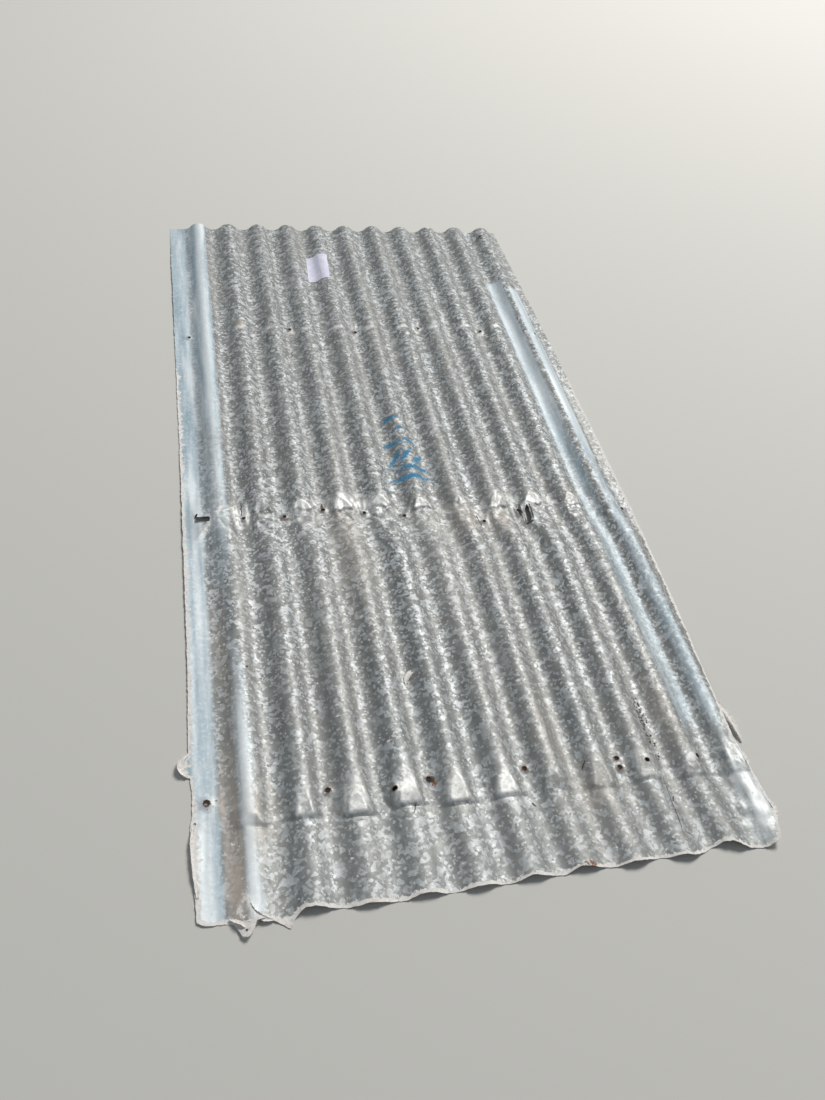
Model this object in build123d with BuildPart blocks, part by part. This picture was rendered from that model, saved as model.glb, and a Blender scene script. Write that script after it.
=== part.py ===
from build123d import *
import math
import os

# One corrugated sheet of galvanised steel, rolled from a single blank. X runs across the
# waves, Y along them, Z is up, and the valleys rest on the floor at Z = 0. In the sizes,
# "along" is measured from the square end at +Y and "across" from the left side at -X.

# The rolled section
pitch = 76.2
waves = 11
depth = 17.0
gauge = 0.6
valley_flat = 2.0
left_lap = 34.0
right_lap = 2.0
length = 1829.0

# How far the waves stand off their first line, and how much each pitch spreads, further down
lean_at_bruise = 4.5
lean_below = 11.0
lean_at_end = 5.0
spread_below = 0.7
spread_at_end = 3.0

# The bruised band over the middle purlin: each crest drops steeply, then recovers
bruise_start = 1044.0
bruise_drop = 24.0
bruise_floor = 34.0
bruise_recovery = 82.0
bruised_share = (0.88, 0.44, 0.4, 0.36, 0.4, 0.4, 0.75, 0.44, 0.34, 0.66, 0.94)

# The lower end slopes down at a crease and is beaten flatter, to about half the depth
flat_end = 132.0
crease_step = 25.0
flattened_height = 9.5

# The trimmed outline, seen from above, and the spare metal outside it that is cut away
left_bow = 3.0
right_bow = 14.0
lower_edge_wave = 3.0
lower_edge_bays = 6
corner_notch = 14.0
corner_cut = 16.0
spare = 30.0

# Nail holes, in one row over each purlin, nearly all of them through the valleys
nail_hole = 5.0
lap_nail_hole = 7.0
row_1 = 461.0
row_1_slip = 14.0
row_2 = 1074.0
row_2_slip = 13.0
row_3_from_crease = 45.0
row_3_slip = 16.0

# Torn places over the middle purlin: a square hole near the left side, and one long tear
# that comes to a point at both ends
torn_hole_across = 28.0
torn_hole_along = 13.0
tear_wave = 8.15
tear_from_row = 30.0
tear_length = 50.0
tear_width = 10.0
tear_lean = 12.0

width = left_lap + waves * pitch + right_lap
half_span = (width + right_bow) / 2
crease = length - flat_end
row_3 = crease - row_3_from_crease
tear_along = row_2 + tear_from_row
tear_corners = [
    (0, tear_length / 2),
    (-tear_width / 2, 0),
    (0, -tear_length / 2),
    (tear_width / 2, 0),
]


def station(along, lean, spread, heights):
    """Where the waves lie across the sheet, and how high each crest is, at one place along it."""
    return {"along": along, "first": left_lap + lean, "step": pitch + spread, "heights": heights}


full = [depth] * waves
bruised = [depth * bruised_share[wave % len(bruised_share)] for wave in range(waves)]
flattened = [flattened_height] * waves
bruise_foot = bruise_start + bruise_drop
bruise_end = bruise_foot + bruise_floor + bruise_recovery

stations = [
    station(0, 0, 0, full),
    station(bruise_start, 0, 0, full),
    station(bruise_foot, lean_at_bruise, 0, bruised),
    station(bruise_foot + bruise_floor, lean_at_bruise, 0, bruised),
    station(bruise_end, lean_below, spread_below, full),
    station(crease - crease_step, lean_below, spread_below, full),
    station(crease, lean_below, spread_below, flattened),
    station(length, lean_at_end, spread_at_end, flattened),
]


def across_at(number, along):
    """How far across a valley lies, at any place along the sheet: halves count the crests."""
    for above, below in zip(stations, stations[1:]):
        if along <= below["along"]:
            break
    share = (along - above["along"]) / (below["along"] - above["along"])
    first = above["first"] + share * (below["first"] - above["first"])
    step = above["step"] + share * (below["step"] - above["step"])
    return first + number * step


def plan_point(across, along):
    """A place in the plan view, whose own origin is the top left corner of the sheet."""
    return (across, -along)


def wave_line(place, offset):
    """One face of the metal: level at the laps and valleys, with three tangent arcs to a wave."""
    middle = gauge / 2
    level = middle + offset
    worn = valley_flat / 2
    start = -spare
    for number, height in enumerate(place["heights"]):
        left = place["first"] + number * place["step"] + worn
        right = left + place["step"] - valley_flat
        run, rise = (right - left) / 4, height / 2
        radius = (run**2 + rise**2) / (2 * rise)
        turn = math.degrees(math.asin(run / radius))
        Line((start, level), (left, level))
        CenterArc((left, middle + radius), radius - offset, -90, turn)
        CenterArc((left + 2 * run, middle + height - radius), radius + offset, 90 - turn, 2 * turn)
        CenterArc((right, middle + radius), radius - offset, -90 - turn, turn)
        start = right
    end = start + right_lap + spare
    Line((start, level), (end, level))
    Line((end, level), (end, middle))
    Line((-spare, level), (-spare, middle))


def lower_edge():
    """The worn lower edge, from right to left: alternate shallow bays and bulges."""
    bay = (width - corner_cut) / lower_edge_bays
    line = length - lower_edge_wave
    for number in range(lower_edge_bays):
        right = width - corner_cut - number * bay
        bulge = lower_edge_wave if number % 2 == 0 else -lower_edge_wave
        reach = -corner_notch if number == 0 else bulge
        ThreePointArc(
            plan_point(right, line),
            plan_point(right - bay / 2, line + reach),
            plan_point(right - bay, line),
        )


plan = Plane(origin=(-half_span, length / 2, 0), x_dir=(1, 0, 0), z_dir=(0, 0, 1))
cut_height = 2 * depth

# Each nail hole: which valley, how far along, and its diameter. A number between two
# whole ones lies on the wave between those valleys.
nail_holes = [
    (0, row_1 + 2 * row_1_slip, nail_hole),
    (3, row_1, nail_hole),
    (5, row_1 + row_1_slip, nail_hole),
    (7, row_1, nail_hole),
    (9, row_1 + row_1_slip, nail_hole),
    (10.7, row_1 + 3 * row_1_slip, nail_hole),
    (1, row_2, nail_hole),
    (2, row_2, nail_hole),
    (3, row_2 - row_2_slip, nail_hole),
    (4, row_2, nail_hole),
    (5, row_2 + row_2_slip, nail_hole),
    (7, row_2 + 3 * row_2_slip, nail_hole),
    (10.85, row_2 + 2 * row_2_slip, nail_hole),
    (-0.3, row_3, lap_nail_hole),
    (2, row_3, nail_hole),
    (3.27, row_3 + row_3_slip, nail_hole),
    (4, row_3, nail_hole),
    (6, row_3, nail_hole),
    (8, row_3, nail_hole),
    (8.55, row_3 + row_3_slip, nail_hole),
    (9.7, row_3 + row_3_slip, nail_hole),
]

with BuildPart() as corrugated_sheet:
    for place in stations:
        face_plane = Plane(
            origin=(-half_span, length / 2 - place["along"], 0), x_dir=(1, 0, 0), z_dir=(0, -1, 0)
        )
        with BuildSketch(face_plane):
            with BuildLine():
                wave_line(place, gauge / 2)
                wave_line(place, -gauge / 2)
            make_face()
    loft(ruled=True)

    with BuildSketch(plan.offset(-depth)):
        with BuildLine():
            Line(plan_point(0, 0), plan_point(width, 0))
            ThreePointArc(
                plan_point(width, 0),
                plan_point(width + right_bow, length / 2),
                plan_point(width, length - corner_cut),
            )
            Line(
                plan_point(width, length - corner_cut),
                plan_point(width - corner_cut, length - lower_edge_wave),
            )
            lower_edge()
            ThreePointArc(
                plan_point(0, length - lower_edge_wave),
                plan_point(left_bow, length / 2),
                plan_point(0, 0),
            )
        make_face()
    extrude(amount=cut_height + depth, mode=Mode.INTERSECT)

    for number, along, size in nail_holes:
        with BuildSketch(plan.offset(-depth)):
            with Locations(plan_point(across_at(number, along), along)):
                Circle(size / 2)
        extrude(amount=cut_height + depth, mode=Mode.SUBTRACT)

    with BuildSketch(plan.offset(-depth)):
        with Locations(plan_point(across_at(0, row_2), row_2)):
            Rectangle(torn_hole_across, torn_hole_along)
        with Locations(plan_point(across_at(tear_wave, tear_along), tear_along)):
            Polygon(*tear_corners, rotation=-tear_lean)
    extrude(amount=cut_height + depth, mode=Mode.SUBTRACT)

corrugated_sheet.part.label = "corrugated_sheet"

os.makedirs("parts", exist_ok=True)
export_step(corrugated_sheet.part, "parts/corrugated_sheet.step")
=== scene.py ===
import math

import bpy
import numpy as np
from mathutils import Matrix, Vector
from mathutils.geometry import delaunay_2d_cdt


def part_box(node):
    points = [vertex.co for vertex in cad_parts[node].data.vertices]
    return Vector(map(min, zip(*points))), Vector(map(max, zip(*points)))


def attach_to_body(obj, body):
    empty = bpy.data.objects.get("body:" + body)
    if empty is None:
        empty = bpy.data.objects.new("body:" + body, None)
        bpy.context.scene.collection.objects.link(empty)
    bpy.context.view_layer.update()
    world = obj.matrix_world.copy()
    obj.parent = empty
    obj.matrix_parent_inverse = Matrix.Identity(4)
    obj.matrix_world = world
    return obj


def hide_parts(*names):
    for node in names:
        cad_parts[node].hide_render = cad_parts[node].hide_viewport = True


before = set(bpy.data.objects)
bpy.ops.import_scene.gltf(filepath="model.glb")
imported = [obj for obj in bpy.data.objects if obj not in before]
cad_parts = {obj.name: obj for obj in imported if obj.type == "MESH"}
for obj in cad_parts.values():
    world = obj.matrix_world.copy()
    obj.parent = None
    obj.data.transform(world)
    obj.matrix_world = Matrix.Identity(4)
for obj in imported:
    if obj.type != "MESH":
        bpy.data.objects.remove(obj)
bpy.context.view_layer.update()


# The viewpoint: held above the near end of the sheet, a little left of its middle, and
# looking down its length with a slight turn of the wrist.
image_height = 1100
focal_pixels = 958.7
eye = Vector((-0.406, -1.445, 1.288))
heading = math.radians(17.83)
downward = math.radians(45.98)
wrist_turn = math.radians(-9.72)

ahead = Vector((
    math.sin(heading) * math.cos(downward),
    math.cos(heading) * math.cos(downward),
    -math.sin(downward),
))
level = ahead.cross(Vector((0, 0, 1))).normalized()
steep = ahead.cross(level)
right = level * math.cos(wrist_turn) + steep * math.sin(wrist_turn)
up = right.cross(ahead)


def add_object(name, data):
    """Makes an object, and puts it in the scene."""
    made = bpy.data.objects.new(name, data)
    bpy.context.scene.collection.objects.link(made)
    return made


lens = bpy.data.cameras.new("viewpoint")
lens.sensor_width = 36.0
lens.lens = focal_pixels / image_height * lens.sensor_width
lens.clip_start = 0.01
camera = add_object("viewpoint", lens)
camera.matrix_world = Matrix.Translation(eye) @ Matrix((right, up, -ahead)).transposed().to_4x4()
bpy.context.scene.camera = camera


# The blank: one thin sheet of steel, cut square at one end and worn ragged at the other,
# with a nail hole at each fixing, a square hole and a tear. Places on it are in mm: across
# from its left side, and along from its square end.
mm = 0.001
low, high = (np.array(corner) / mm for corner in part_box("corrugated_sheet"))
length = high[1] - low[1]
edge_step = 2.5
draw = np.random.default_rng(11)

pitch = 76.2
waves = 11
left_lap = 34.0
bruise_start = 1044.0
bruise_foot = bruise_start + 24.0
floor_end = bruise_foot + 34.0
bruise_end = floor_end + 82.0
crease = length - 132.0

top_side = [(0, 0), (874, 0)]
right_side = [(880, 300), (885, 600), (888, 900), (888, 1100), (884, 1350), (876, 1500), (868, 1590),
              (866, 1640), (869, 1672), (874, 1690), (879, 1740), (880, 1775), (872, 1800), (866, 1822)]
lower_side = [(846, 1827), (825, 1826), (806, 1823), (790, 1815), (775, 1813), (758, 1816),
              (742, 1822), (722, 1827), (700, 1824), (672, 1821), (640, 1825), (600, 1826),
              (560, 1823), (545, 1821), (520, 1828), (470, 1825), (445, 1829), (400, 1829),
              (350, 1831), (305, 1829), (285, 1833), (200, 1832), (160, 1827), (146, 1827)]
torn_flap = [(137, 1832), (132, 1836), (124, 1850), (112, 1842), (100, 1834), (92, 1831)]
tongue = [(80, 1834), (75, 1846), (68, 1854), (60, 1852), (55, 1842), (50, 1834)]
left_side = [(38, 1832), (12, 1831), (2, 1826), (0, 1780), (-2, 1730), (-3, 1690), (1, 1668),
             (2, 1640), (0, 1608), (-10, 1604), (-17, 1593), (-13, 1577), (-2, 1567), (2, 1400),
             (3, 1100), (3, 800), (2, 500), (1, 200)]


def wave_line(along):
    """Where the first valley lies, and how far apart the valleys are, along the sheet."""
    places = (0, bruise_start, bruise_foot, floor_end, bruise_end, crease, length)
    first = np.interp(along, places, (34, 34, 38.5, 38.5, 45, 45, 39))
    step = np.interp(along, places, (76.2, 76.2, 76.2, 76.2, 76.9, 76.9, 79.2))
    return first, step


def valley(number, along):
    """A place on one numbered valley. A number between two whole ones lies on the wave there."""
    first, step = wave_line(along)
    return np.array((first + number * step, along))


def ragged(count, grain):
    """Uneven wear along an edge, from -1 to 1: a random value every few points, joined up."""
    knots = draw.uniform(-1, 1, count // grain + 2)
    return np.interp(np.arange(count) / grain, np.arange(len(knots)), knots)


def worn_edge(guide, wear):
    """A closed edge through guide points, cut into short steps and worn in and out a little."""
    corners = np.array(guide + guide[:1], float)
    runs = np.hypot(*np.diff(corners, axis=0).T)
    reach = np.concatenate(([0], np.cumsum(runs)))
    spots = np.linspace(0, reach[-1], int(reach[-1] / edge_step), endpoint=False)
    line = np.stack([np.interp(spots, reach, corners[:, axis]) for axis in (0, 1)], -1)
    outward = np.roll(line, -1, 0) - np.roll(line, 1, 0)
    outward = np.stack((outward[:, 1], -outward[:, 0]), -1) / np.hypot(*outward.T)[:, None]
    amount = wear * (0.7 * ragged(len(line), 2) + 0.6 * ragged(len(line), 9))
    amount = np.where(line[:, 1] < edge_step, 0.2 * amount, amount)
    return line + outward * amount[:, None]


def ring(centre, radius, wear=0.0, points=16):
    """A round hole's edge, torn a little out of round."""
    turn = np.arange(points) * 2 * math.pi / points
    reach = radius + wear * draw.uniform(-1, 1, points)
    return centre + np.stack((reach * np.cos(turn), reach * np.sin(turn)), -1)


outline = worn_edge(
    top_side + right_side + lower_side + torn_flap + tongue + left_side, wear=0.9
)

# Each nail hole: the valley it is in, how far along it is, and its radius
nail_holes = [
    (10.35, 43, 3.2),
    (0, 489, 2.5), (3, 461, 2.5), (5, 475, 2.5), (7, 461, 2.5), (9, 475, 2.5), (10.7, 503, 2.5),
    (1, 1074, 2.5), (2, 1074, 2.5), (3, 1061, 2.5), (4, 1074, 2.5), (5, 1087, 2.5),
    (7, 1113, 2.5), (10.85, 1100, 2.5),
    (-0.3, 1652, 3.5), (2, 1652, 2.5), (3.27, 1668, 2.5), (4, 1652, 2.5), (6, 1652, 2.5),
    (8, 1652, 2.5), (8, 1668, 2.5), (8.55, 1668, 2.5), (9.7, 1668, 2.5),
]
hole_centres = [valley(number, along) for number, along, _ in nail_holes]
loops = [ring(centre, size[2] + 0.4, wear=0.4) for centre, size in zip(hole_centres, nail_holes)]

torn_hole = valley(0, 1077) + np.array([
    (-14, -7), (-12, -13), (-9, -19), (-7, -15), (-9, -8), (-2, -6), (1, -9), (12, -8), (15, -4),
    (14, 5), (6, 6), (0, 8), (-7, 6), (-14, 8),
])
tear_middle = valley(8.15, 1104)
tear = tear_middle + np.array([
    (9, -28), (6, -22), (2, -15), (0, -6), (-1, 3), (-1, 11), (-3, 19), (2, 23), (6, 18), (8, 12),
    (8, 5), (8, -4), (9, -14),
])
tear_branch = tear_middle + np.array([
    (-12, -20), (-15, -15), (-11, -9), (-8, -2), (-7, 8), (-8, 15), (-6, 18), (-5, 8), (-5, -4), (-8, -13),
])
dark_crack = valley(7, 1113) + np.array([(-13, -16), (-11, -17), (-9.5, -4), (-6, 12), (-8, 11), (-11, -2)])
loops += [torn_hole, tear, tear_branch, dark_crack]

# Small holes that rust has eaten near the worn edges
for place in ((4, 1682), (866, 1690), (66, 1845)):
    loops.append(ring(np.array(place, float), 2.0, wear=0.4, points=12))

# No point of a hole's edge lies further than this from the hole's middle
hole_reach = 40

# Rows of points across the blank, closer together where the metal is bruised or creased. Each
# band is where it starts and ends, and the gap between its rows.
row_bands = [(0, 430, 18), (430, 500, 4.0), (500, 1034, 18), (1034, 1120, 2.1), (1120, 1186, 6),
             (1186, 1630, 18), (1630, 1660, 4.5), (1660, 1706, 3.0), (1706, 1856, 5)]
fine_gap = 4.0
fine_columns = 32
plain_columns = 14
grid = []
for start, end, gap in row_bands:
    columns = fine_columns if gap <= fine_gap else plain_columns
    share = np.arange(-0.75 * columns, (waves + 0.6) * columns) / columns
    for along in np.arange(start, end, gap):
        first, step = wave_line(along)
        grid.append(np.stack((first + share * step, np.full(len(share), along)), -1))
grid = np.concatenate(grid)


def distance_to(line, places):
    """How far each place is from the nearest point of a line, in mm."""
    found = [np.hypot(*(part[:, None] - line[None]).transpose(2, 0, 1)).min(1)
             for part in np.array_split(places, 40)]
    return np.concatenate(found)


clear = distance_to(outline, grid) > 0.6 * edge_step
for loop in loops:
    near = np.abs(grid - loop.mean(0)).max(1) < hole_reach
    clear[near] &= distance_to(loop, grid[near]) > 1.1
rings = [ring(centre, size[2] + 1.5) for centre, size in zip(hole_centres, nail_holes)]
points = np.concatenate([outline] + loops + rings + [grid[clear]])

# The outline is the mesh's rim, and the holes' edges are held as lines until they are cut out
first_of = np.cumsum([0, len(outline)] + [len(loop) for loop in loops])
bounds = [list(range(start, end)) for start, end in zip(first_of, first_of[1:])]
cut_edges = [(a, b) for ids in bounds[1:] for a, b in zip(ids, ids[1:] + ids[:1])]
places, _, triangles, *_ = delaunay_2d_cdt(
    [Vector((across, -along)) for across, along in points], cut_edges, [bounds[0]], 1, 1e-5
)
plan = np.array(places) * (1, -1)
triangles = np.array(triangles)


def inside(loop, spots):
    """Which places lie inside a closed line."""
    crossed = np.zeros(len(spots), bool)
    for (x0, y0), (x1, y1) in zip(loop, np.roll(loop, -1, 0)):
        spans = (y0 > spots[:, 1]) != (y1 > spots[:, 1])
        reach = x0 + (spots[:, 1] - y0) * (x1 - x0) / (y1 - y0 if y1 != y0 else 1.0)
        crossed ^= spans & (spots[:, 0] < reach)
    return crossed


middles = plan[triangles].mean(1)
cut_away = np.zeros(len(triangles), bool)
for loop in loops:
    near = np.abs(middles - loop.mean(0)).max(1) < hole_reach
    cut_away[near] |= inside(loop, middles[near])
kept, triangles = np.unique(triangles[~cut_away], return_inverse=True)
triangles = triangles.reshape(-1, 3)
plan = plan[kept]
across, along = plan.T


def metres(x, y, z=0.0):
    """A place on the sheet, turned from mm across, along and up to the scene's own metres."""
    return (x + low[0]) * mm, (high[1] - y) * mm, z * mm


blank = bpy.data.meshes.new("galvanised_blank")
blank.from_pydata([metres(x, y) for x, y in plan], [], triangles.tolist())
edge_distance = distance_to(outline, plan)


# Rolling: the blank passes between grooved rolls, which press eleven round waves into it and
# leave a level lap at each side. Each wave is three tangent arcs with a narrow level valley.
depth = 17.0
gauge = 0.6
valley_flat = 2.0
flattened_depth = 9.5
fold_softness = 1.0
crest_slack = 0.4


def attach(mesh, name, values):
    """Keeps one number for each point of a mesh, under a name."""
    mesh.attributes.new(name, "FLOAT", "POINT").data.foreach_set("value", values.astype(np.float32))


first, step = wave_line(along)
wave = np.clip((across - first) / step, 0, waves)
attach(blank, "wave", wave)


def put(tree, kind, inputs=None, **settings):
    """Adds a node: settings are its properties, and inputs its values or what is linked to it."""
    made = tree.nodes.new(kind)
    for name, value in settings.items():
        setattr(made, name, value)
    for name, value in (inputs or {}).items():
        if isinstance(value, bpy.types.NodeSocket):
            tree.links.new(value, made.inputs[name])
        else:
            made.inputs[name].default_value = value
    return made


def sums(tree, operation, *values):
    """A Math node's result."""
    return put(tree, "ShaderNodeMath", dict(enumerate(values)), operation=operation).outputs[0]


# One wave's section, as a node group: the height of the metal above the valleys
section = bpy.data.node_groups.new("wave_section", "GeometryNodeTree")
for name in ("Wave", "Height", "Pitch", "Valley Flat"):
    section.interface.new_socket(name, in_out="INPUT", socket_type="NodeSocketFloat")
section.interface.new_socket("Height", in_out="OUTPUT", socket_type="NodeSocketFloat")
given = put(section, "NodeGroupInput").outputs
from_valley = sums(section, "PINGPONG", given["Wave"], 0.5)
from_valley = sums(section, "MULTIPLY", from_valley, given["Pitch"])
half_flat = sums(section, "DIVIDE", given["Valley Flat"], 2.0)
from_valley = sums(section, "SUBTRACT", from_valley, half_flat)
from_valley = sums(section, "MAXIMUM", from_valley, 0.0)
run = sums(section, "DIVIDE", sums(section, "SUBTRACT", given["Pitch"], given["Valley Flat"]), 4.0)
rise = sums(section, "DIVIDE", given["Height"], 2.0)
radius = sums(section, "DIVIDE", sums(section, "ADD", sums(section, "POWER", run, 2.0),
                                      sums(section, "POWER", rise, 2.0)), given["Height"])
squared = sums(section, "POWER", radius, 2.0)
from_crest = sums(section, "SUBTRACT", sums(section, "MULTIPLY", run, 2.0), from_valley)
hollow, crown = [
    sums(section, "SUBTRACT", radius, sums(section, "SQRT", sums(
        section, "SUBTRACT", squared, sums(section, "POWER", reach, 2.0))))
    for reach in (from_valley, from_crest)
]
crown = sums(section, "SUBTRACT", given["Height"], crown)
rolled = put(section, "GeometryNodeSwitch", {
    "Switch": sums(section, "GREATER_THAN", from_valley, run), "False": hollow, "True": crown,
}, input_type="FLOAT").outputs[0]
put(section, "NodeGroupOutput", {"Height": rolled})


def new_tree(name, sizes, felt):
    """A Geometry Nodes tree with named sizes and a finish as inputs: the tree, the keys of those
    inputs, their sockets, and the numbers that the tree feels at each point of the mesh."""
    made = bpy.data.node_groups.new(name, "GeometryNodeTree")
    for way in ("INPUT", "OUTPUT"):
        made.interface.new_socket("Geometry", in_out=way, socket_type="NodeSocketGeometry")
    kinds = {**dict.fromkeys(sizes, "NodeSocketFloat"), "Finish": "NodeSocketMaterial"}
    keys = {
        label: made.interface.new_socket(label, in_out="INPUT", socket_type=kind).identifier
        for label, kind in kinds.items()
    }
    numbers = {
        label: put(made, "GeometryNodeInputNamedAttribute", {"Name": label}, data_type="FLOAT").outputs[0]
        for label in felt
    }
    return made, keys, put(made, "NodeGroupInput").outputs, numbers


# The whole sheet: rolled, then beaten down and dented as its attributes say
roll_sizes = {
    "Pitch": pitch, "Depth": depth, "Flattened Depth": flattened_depth,
    "Valley Flat": valley_flat, "Gauge": gauge, "Fold Softness": fold_softness,
}
rolling, roll_keys, given, felt = new_tree(
    "roll_the_waves", roll_sizes, ("wave", "flattening", "ceiling", "dent"))
lost = sums(rolling, "MULTIPLY", felt["flattening"], sums(
    rolling, "SUBTRACT", given["Depth"], given["Flattened Depth"]))
height = sums(rolling, "SUBTRACT", given["Depth"], lost)
rolled = put(rolling, "GeometryNodeGroup", {
    "Wave": felt["wave"], "Height": height, "Pitch": given["Pitch"], "Valley Flat": given["Valley Flat"],
}, node_tree=section)
level_now = sums(rolling, "SMOOTH_MIN", rolled.outputs[0], felt["ceiling"], given["Fold Softness"])
level_now = sums(rolling, "MAXIMUM", sums(rolling, "ADD", level_now, felt["dent"]), 0.0)
highest = sums(rolling, "ADD", given["Depth"], crest_slack)
level_now = sums(rolling, "SMOOTH_MIN", level_now, highest, crest_slack)
level_now = sums(rolling, "ADD", level_now, sums(rolling, "DIVIDE", given["Gauge"], 2.0))
lift = put(rolling, "ShaderNodeCombineXYZ", {"Z": sums(rolling, "MULTIPLY", level_now, mm)})
shaped = put(rolling, "GeometryNodeSetPosition", {
    "Geometry": given["Geometry"], "Offset": lift.outputs[0],
})
shaped = put(rolling, "GeometryNodeRealizeInstances", {"Geometry": shaped.outputs[0]})
shaped = put(rolling, "GeometryNodeSetMaterial", {
    "Geometry": shaped.outputs[0], "Material": given["Finish"],
})
put(rolling, "NodeGroupOutput", {"Geometry": shaped.outputs[0]})


# The bruises: the middle purlin has cut each crest down to a plateau, the lower end has been
# beaten to about half its depth below a crease, and every nail has puckered the metal round it.
bruised_share = (0.88, 0.44, 0.4, 0.36, 0.4, 0.4, 0.75, 0.44, 0.34, 0.66, 0.94)
flattened_depths = (8, 11, 9, 9.5, 9.5, 10.5, 10, 10.5, 11, 12, 12)
crease_slips = (0, -3, 1, -5, 2, 0, -2, 3, -1, 2, 4)
full_burr = 4.4
low_burr = 2.4
low_burr_places = (8.55, 9.7)
burr_width = 4.5
crumples = 110
first_in_corner = 70
uncut = depth + 12.0
number = np.minimum(wave.astype(int), waves - 1)


def smooth_step(start, end, values):
    """Rises softly from 0 at start to 1 at end."""
    share = np.clip((values - start) / (end - start), 0, 1)
    return share * share * (3 - 2 * share)


def hump(x, y, wide, long, lean=0.0):
    """How strongly a round dent pulls: 1 in its middle, fading outwards. lean is in degrees."""
    turn = math.radians(lean)
    sideways = (across - x) * math.cos(turn) + (along - y) * math.sin(turn)
    lengthways = (along - y) * math.cos(turn) - (across - x) * math.sin(turn)
    return np.exp(-((sideways / wide) ** 2) - (lengthways / long) ** 2)


def fold(start, end, soft):
    """How strongly a sharp fold pulls: 1 on the line from start to end, fading fast beside it."""
    start, end = np.array(start, float), np.array(end, float)
    run = end - start
    share = ((across - start[0]) * run[0] + (along - start[1]) * run[1]) / (run @ run)
    held = np.clip(share, 0, 1)
    away = np.hypot(across - start[0] - held * run[0], along - start[1] - held * run[1])
    taper = np.clip(1 - (2 * held - 1) ** 4, 0, 1)
    return np.exp(-((away / soft) ** 1.4)) * (0.25 + 0.75 * taper)


def raise_to(zone, amount):
    """Raises a zone's values up to an amount, where they lie below it."""
    np.maximum(zone, amount, out=zone)


# The middle purlin's cut: a flat facet sloping towards the lower end, a step down to a
# plateau, and a recovery. The foot of the facet wanders across each crest.
cut_start = np.array([1046, 1042, 1040, 1029, 1037, 1050, 1052, 1050, 1050, 1054, 1050])[number]
cut_drop = np.array([16, 18, 18, 34, 21, 19, 14, 28, 22, 14, 16])[number]
plateau = depth * np.array(bruised_share)[number]
cut_drop = cut_drop + 2.8 * np.sin(across / 5.7 + 2.3 * number) + 1.6 * np.sin(across / 2.4 + number)
shelf = plateau + 0.3 * (depth - plateau)
ceiling = np.full(len(across), uncut)
fallen = np.clip((along - cut_start) / cut_drop, -0.5, 1)
stepped = smooth_step(0, 7, along - cut_start - cut_drop)
risen = smooth_step(floor_end, bruise_end, along)
cut = (along > cut_start - 12) & (along < bruise_end)
uneven = np.sin(across / 4.7 + 2.1 * number) * np.sin(along / 5.9 + 1.3 * number)
uneven = (0.3 + 0.6 * stepped) * uneven
highest_crest = depth + crest_slack
lowered = highest_crest + fallen * (shelf - highest_crest) + stepped * (plateau - shelf)
ceiling[cut] = (lowered + risen * (depth + 3 - plateau) + uneven)[cut]

# The crease: each crest ends in a short slope, and the waves go on at about half their depth
to_crease = along - crease - np.array(crease_slips)[number]
beaten_depth = np.array(flattened_depths)[number]
nose_length = np.array([25, 36, 46, 40, 52, 50, 28, 44, 40, 30, 34])[number]
nose_step = np.array([0.1, 0.3, 0.42, 0.45, 0.4, 0.42, 0.05, 0.1, 0.3, 0.05, 0.1])[number]
nose_shelf = beaten_depth + nose_step * (depth - beaten_depth)
ended = depth + 0.5 + (nose_shelf - depth - 0.5) * np.clip(to_crease / nose_length + 1, 0, 1)
ended += (beaten_depth - nose_shelf) * smooth_step(-2, 3, to_crease)
ceiling = np.where((to_crease > -nose_length) & (to_crease < 4), ended, ceiling)
beaten = smooth_step(-3, 4, to_crease)
flattening = beaten * (depth - beaten_depth) / (depth - flattened_depth)

# No wave keeps one depth all the way, and the first is trodden lower towards the crease
flattening = flattening * (1 - 0.08 * np.sin(along / 37 + number * 2.3))
flattening = flattening + 0.06 * (1 + np.sin(along / 330 + number * 1.9)) * (1 - beaten)
flattening = flattening + 0.35 * (number == 0) * smooth_step(1150, 1400, along) * (1 - beaten)

# Below the middle row the waves come back to their depth slowly, each in its own way
slow = np.array([0.5, 0.4, 0.45, 0.6, 0.35, 0.9, 0.3, 0.2, 0.1, 0.1, 0.0])[number]
slow_from = 1200
slow_until = 1440 + 120 * (number == 5)
slow = slow * smooth_step(bruise_foot, floor_end + 30, along)
flattening = flattening + slow * (1 - smooth_step(slow_from, slow_until, along))
bruised_depth = np.minimum(plateau + 5.0, depth)
pressed = stepped * (1 - risen)
flattening = flattening + pressed * (depth - bruised_depth) / (depth - flattened_depth)

# Folding has rubbed the metal bright, and painted highlight is laid on with it: on the cut slopes, and along
# both sides of each nose
dent = np.zeros(len(across))
round_wave = depth * (0.5 - 0.5 * np.cos(wave * 2 * math.pi))
over = smooth_step(-0.5, 1.0, round_wave - ceiling)
cut_shine = np.array([0.5, 0.2, 1.1, 1.1, 1.0, 0.9, 0.3, 0.8, 1.1, 0.6, 0.5])[number]
scuff_and_highlight = cut_shine * over * smooth_step(-0.1, 0.1, fallen)
scuff_and_highlight *= 1 - 0.95 * smooth_step(-1, 2, along - cut_start - cut_drop)
nose_shine = np.array([0.2, 0.5, 0.8, 0.9, 0.7, 0.9, 0.05, 0.15, 0.4, 0.1, 0.3])[number]
nose_side = np.exp(-(((round_wave - ended - 0.5) / 1.6) ** 2))
nose_side *= smooth_step(-44, -16, to_crease) * (1 - smooth_step(0, 3, to_crease))
nose_face = smooth_step(-0.5, 1.0, round_wave - ended)
nose_face *= smooth_step(-nose_length, 8 - nose_length, to_crease) * (1 - smooth_step(-2, 1, to_crease))
scuff_and_highlight = np.maximum.reduce([scuff_and_highlight, 0.9 * nose_shine * nose_side, 0.8 * nose_shine * nose_face])
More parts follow.
